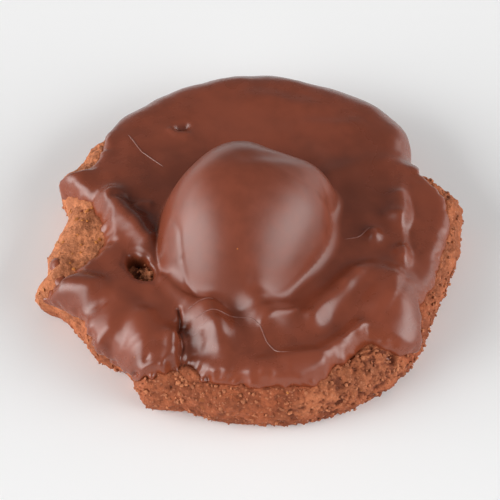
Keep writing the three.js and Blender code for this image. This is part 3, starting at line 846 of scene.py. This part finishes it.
def dough_material(colours):
    finish = Finish("baked_dough")
    pale, mottle = finish.attribute("pale"), finish.mottle(330.0, 1900.0)
    flecks, grit = finish.specks(620.0, 0.955, 0.3), finish.specks(1500.0, 0.86, 0.4)
    sugar = finish.specks(2300.0, 0.8, 0.4)
    shade = finish.mix((0.72, 0.68, 0.66, 1.0), (1.12, 1.1, 1.08, 1.0), finish.spread(mottle, 0.4, 0.6))
    # the pale mix is partly painted light on the lit and high dough
    tone = finish.mix(finish.mix(colours.dough, colours.dough_pale, pale), shade, 1.0, "MULTIPLY")
    tone = finish.mix(tone, colours.dough_pale, finish.times(sugar, 0.45))
    tone = finish.mix(tone, colours.fleck, finish.times(finish.times(flecks, 0.8), pale))
    tone = finish.mix(tone, colours.dough_dark, finish.times(grit, 0.3))
    # painted shade in the pores, pits, gaps, low ground and under the glaze's hole
    painted_shade = finish.spread(finish.attribute("painted_shade"), 0.12, 1.0, 0.0, 0.85)
    tone = finish.mix(tone, colours.dough_dark, painted_shade)
    normal = finish.bump(2200.0, 0.00035, Detail=5.0, Roughness=0.62)
    return finish.done(Base_Color=tone, Roughness=finish.spread(sugar, 0.0, 1.0, 0.8, 0.4),
                       Specular_IOR_Level=0.3, Normal=normal)


def chocolate_material(colours):
    finish = Finish("set_chocolate")
    inside, mottle = finish.attribute("inside"), finish.mottle(70.0, 420.0)
    tone = finish.mix(shaded(colours.chocolate, 0.86), shaded(colours.chocolate, 1.12),
                      finish.spread(mottle, 0.35, 0.65))
    tone = finish.mix(tone, colours.chocolate_thin, finish.times(finish.spread(inside, 2.2, 0.1), 0.7))
    # painted shade: the wall of the glaze's hole is darkened
    tone = finish.mix(tone, shaded(colours.dough_dark, 0.25), finish.attribute("pit"))
    tone = finish.mix(tone, colours.fleck, finish.times(finish.specks(420.0, 0.975, 0.05), 0.6))
    gloss = finish.spread(inside, 8.0, 15.0, 0.27, 0.36)
    gloss = finish.times(gloss, finish.spread(mottle, 0.3, 0.7, 0.9, 1.12))
    return finish.done(Base_Color=tone, Roughness=gloss, Normal=finish.bump(330.0, 0.0001, 0.25, Detail=2.0))


def crumb_material(colours):
    finish = Finish("loose_crumb")
    mottle = finish.mottle(900.0, 3000.0)
    light = finish.spread(finish.attribute("tone"), -0.9, 1.0)
    tone = finish.mix(colours.dough_dark, colours.dough_pale, light)
    tone = finish.mix(tone, colours.dough_dark, finish.spread(mottle, 0.62, 0.38, 0.0, 0.5))
    return finish.done(Base_Color=tone, Roughness=0.75, Specular_IOR_Level=0.3,
                       Normal=finish.bump(4000.0, 0.0001, 0.6))


def fleck_material(colours):
    finish = Finish("cornflake")
    mottle = finish.spread(finish.mottle(700.0, 2600.0), 0.38, 0.6)
    tone = finish.mix(shaded(colours.fleck, 0.6), colours.fleck, mottle)
    return finish.done(Base_Color=tone, Roughness=0.45)


def thread_material(colours):
    finish = Finish("thread_chocolate")
    mottle = finish.spread(finish.mottle(400.0, 1500.0), 0.35, 0.55)
    # paler patches: partly a painted sheen for the highlights on the thin threads
    pale = [v + 0.07 for v in colours.chocolate[:3]] + [1.0]
    tone = finish.mix(colours.chocolate, pale, mottle)
    return finish.done(Base_Color=tone, Roughness=0.34)


def floor_material(colours):
    finish = Finish("studio_floor")
    tone = finish.mix(shaded(colours.floor, 0.985), colours.floor, finish.mottle(6.0, 60.0))
    return finish.done(Base_Color=tone, Roughness=0.75)


# ---- operators
def settle(piece, material, slot, *replaced):
    """Give a piece its material and say what it rides on and the solids that it stands for; its slot is not
    used.
    """
    piece.data.materials.append(material)
    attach(piece, "root")
    if replaced:
        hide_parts(*replaced)


class BISCUIT_OT_dough(bpy.types.Operator):
    """Bake the dough: a round body with crags, pores and broken crumb"""

    bl_idname = "biscuit.dough"
    bl_label = "Dough"

    def execute(self, context):
        form = Form(context.scene.biscuit_sizes)
        deg, reach = np.meshgrid(np.arange(720) * 0.5, rings(*DOUGH_RINGS))
        points, painted_shade, pale = form.dough(deg, reach)
        below, below_depth = form.underside(points[-1])
        points = np.concatenate([points, below])
        painted_shade = np.concatenate([painted_shade, below_depth])
        pale = np.concatenate([pale, 0 * below_depth])
        piece = ring_mesh("baked_dough", points, {"painted_shade": painted_shade, "pale": pale}, UNDERSIDE)
        settle(piece, dough_material(context.scene.biscuit_colours), "dough", "biscuit_base")
        return {"FINISHED"}


class BISCUIT_OT_chocolate(bpy.types.Operator):
    """Pour the chocolate: the glaze with its runs and folds, and the covered lump"""

    bl_idname = "biscuit.chocolate"
    bl_label = "Chocolate"

    def execute(self, context):
        form = Form(context.scene.biscuit_sizes)
        deg, reach = np.meshgrid(directions(640, CROWD), rings(*CHOCOLATE_RINGS))
        points, inside = form.chocolate(deg, reach)
        # pit: painted shade on the wall of the glaze's hole
        pit = clamp(0.6 - outside_hole(*plan(deg, reach)) / 0.5)
        piece = ring_mesh("chocolate_coat", points, {"inside": inside, "pit": pit}, COAT_BOTTOM)
        material = chocolate_material(context.scene.biscuit_colours)
        settle(piece, material, "chocolate", "chocolate_glaze", "chocolate_lump")
        return {"FINISHED"}


class BISCUIT_OT_crumbs(bpy.types.Operator):
    """Scatter loose crumbs and cornflake flecks over the bare dough"""

    bl_idname = "biscuit.crumbs"
    bl_label = "Crumbs"

    def execute(self, context):
        sizes, colours = context.scene.biscuit_sizes, context.scene.biscuit_colours
        form = Form(sizes)
        rng = np.random.default_rng(17)
        settle(self.crumbs(form, rng, sizes.crumb_count), crumb_material(colours), "dough")
        settle(self.flecks(form, rng, sizes.fleck_count), fleck_material(colours), "dough")
        return {"FINISHED"}

    def crumbs(self, form, rng, wanted):
        """Crumbs all over, fewer where the dough is pale, and then the heaps."""
        deg, reach = self.bare_places(form, rng, wanted)
        kept = rng.uniform(0, 1, len(deg)) > PALE_THINNING * form.dough(deg, reach)[2]
        deg, reach = deg[kept], reach[kept]
        size = CRUMB_SMALLEST * np.exp(rng.uniform(0, 1.15, len(deg)))
        lightest = np.full(len(deg), LOOSE_LIGHTEST)
        for at, out, half, mean, count in CRUMB_HEAPS:
            deg = np.append(deg, at + np.degrees(rng.normal(0, 0.5 * half, count) / out))
            reach = np.append(reach, out + rng.normal(0, 0.5 * half, count))
            size = np.append(size, mean * np.exp(rng.uniform(-0.5, 0.5, count)))
            lightest = np.append(lightest, np.full(count, HEAP_LIGHTEST))
        in_hole = outside_hole(*plan(deg, reach)) < 0.2
        above = np.where(in_hole, rng.uniform(0.3, 1.3, len(deg)), 0.1)
        return lumps("loose_crumbs", form.ground(deg, reach, above), size, rng,
                     flatness=0.8, roughness=0.28, lightest=lightest)

    def flecks(self, form, rng, wanted):
        """Flecks in the left notch, and now and then elsewhere."""
        deg, reach = self.bare_places(form, rng, TRIES * wanted)
        in_notch = outside_patch(*plan(deg, reach), LEFT_NOTCH) < 0.5
        chosen = in_notch | (rng.uniform(0, 1, len(deg)) < STRAY_FLECKS)
        deg, reach = deg[chosen][:wanted], reach[chosen][:wanted]
        size = rng.uniform(0.2, 0.42, len(deg))
        return lumps("cornflake_flecks", form.ground(deg, reach, 0.1), size, rng,
                     flatness=0.35, roughness=0.3)

    def bare_places(self, form, rng, count):
        """Directions and reaches that stand by chance where the dough is bare and above the floor."""
        deg, reach = rng.uniform(0, 360, TRIES * count), rng.uniform(*BARE_REACH, TRIES * count)
        bare = (form.cover(deg, reach) < -OFF_GLAZE) & (form.skin(deg, reach)[1] > OFF_FLOOR)
        return deg[bare][:count], reach[bare][:count]


class BISCUIT_OT_threads(bpy.types.Operator):
    """Draw the fine chocolate threads on the glaze and fill pits in the bare dough"""

    bl_idname = "biscuit.threads"
    bl_label = "Threads"

    def execute(self, context):
        sizes, colours = context.scene.biscuit_sizes, context.scene.biscuit_colours
        form = Form(sizes)
        courses = [self.course(form, places) for places in THREADS]
        piece = tubes("chocolate_threads", courses, sizes.thread / MM / 2)
        settle(piece, thread_material(colours), "chocolate")
        deg, reach, size = np.array(PIT_DROPS).T
        piece = lumps("pit_chocolate", form.ground(deg, reach, -0.15), size, np.random.default_rng(3),
                      flatness=0.45, roughness=0.08, subdivisions=3, smooth=True)
        settle(piece, bpy.data.materials["set_chocolate"], "chocolate")
        return {"FINISHED"}

    def course(self, form, places):
        """Points along a thread that lies on the chocolate."""
        x, y = np.array(places).T
        passed = np.concatenate([[0.0], np.cumsum(np.hypot(np.diff(x), np.diff(y)))])
        at = np.linspace(0, passed[-1], int(passed[-1] / THREAD_STEP) + 2)
        x, y = smooth_course(at, passed, x), smooth_course(at, passed, y)
        return form.chocolate(np.degrees(np.arctan2(y, x)), np.hypot(x, y))[0]


class BISCUIT_OT_stage(bpy.types.Operator):
    """Set the stage: pale floor, soft boxes and the camera"""

    bl_idname = "biscuit.stage"
    bl_label = "Stage"

    def execute(self, context):
        scene = context.scene
        mesh = bpy.data.meshes.new("studio_floor")
        corners = [(-1, -1), (1, -1), (1, 1), (-1, 1)]
        mesh.from_pydata([(FLOOR_HALF * x, FLOOR_HALF * y, 0) for x, y in corners], [], [(0, 1, 2, 3)])
        floor = add_object("studio_floor", mesh)
        floor.data.materials.append(floor_material(scene.biscuit_colours))
        self.add_camera(scene)
        for softbox in SOFTBOXES:
            self.add_light(*softbox)
        world = bpy.data.worlds.new("studio")
        world.use_nodes = True
        sky = world.node_tree.nodes["Background"]
        sky.inputs["Color"].default_value = (SKY_GREY, SKY_GREY, SKY_GREY, 1)
        sky.inputs["Strength"].default_value = SKY_STRENGTH
        scene.world = world
        scene.view_settings.view_transform = "Standard"
        return {"FINISHED"}

    def add_camera(self, scene):
        elevation = math.radians(CAMERA_ELEVATION)
        back = Vector((0, -math.cos(elevation), math.sin(elevation)))
        camera = bpy.data.cameras.new("studio_camera")
        camera.sensor_width = 36
        camera.lens = CAMERA_LENS
        camera.clip_start = 0.01
        camera.clip_end = 20
        holder = add_object("studio_camera", camera)
        holder.location = Vector(CAMERA_AIM) + back * CAMERA_DISTANCE
        holder.rotation_euler = (-back).to_track_quat("-Z", "Y").to_euler()
        scene.camera = holder

    def add_light(self, name, turn, elevation, width, height, power):
        """A softbox that faces the biscuit."""
        a, e = math.radians(turn), math.radians(elevation)
        toward = Vector((math.sin(a) * math.cos(e), -math.cos(a) * math.cos(e), math.sin(e)))
        light = bpy.data.lights.new(name, "AREA")
        light.shape = "RECTANGLE"
        light.size, light.size_y = width, height
        light.energy = power
        light.spread = math.radians(SOFTBOX_SPREAD)
        holder = add_object(name, light)
        holder.location = toward * SOFTBOX_DISTANCE
        holder.rotation_euler = (Vector(SOFTBOX_AIM) - holder.location).to_track_quat("-Z", "Y").to_euler()


class BISCUIT_PT_panel(bpy.types.Panel):
    """Sizes, colours and building steps"""

    bl_label = "Afghan Biscuit"
    bl_idname = "BISCUIT_PT_panel"
    bl_space_type = "VIEW_3D"
    bl_region_type = "UI"
    bl_category = "Biscuit"

    def draw(self, context):
        for group in (context.scene.biscuit_sizes, context.scene.biscuit_colours):
            box = self.layout.box()
            for name in group.__annotations__:
                box.prop(group, name)
        for step in STEPS:
            self.layout.operator(step.bl_idname)


STEPS = (BISCUIT_OT_dough, BISCUIT_OT_chocolate, BISCUIT_OT_crumbs, BISCUIT_OT_threads, BISCUIT_OT_stage)
CLASSES = (BiscuitSizes, BiscuitColours, *STEPS, BISCUIT_PT_panel)


def register():
    for cls in CLASSES:
        bpy.utils.register_class(cls)
    bpy.types.Scene.biscuit_sizes = bpy.props.PointerProperty(type=BiscuitSizes)
    bpy.types.Scene.biscuit_colours = bpy.props.PointerProperty(type=BiscuitColours)


def unregister():
    del bpy.types.Scene.biscuit_sizes
    del bpy.types.Scene.biscuit_colours
    for cls in reversed(CLASSES):
        bpy.utils.unregister_class(cls)


def main():
    register()
    bpy.ops.biscuit.dough()
    bpy.ops.biscuit.chocolate()
    bpy.ops.biscuit.crumbs()
    bpy.ops.biscuit.threads()
    bpy.ops.biscuit.stage()
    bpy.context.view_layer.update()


if __name__ == "__main__":
    main()
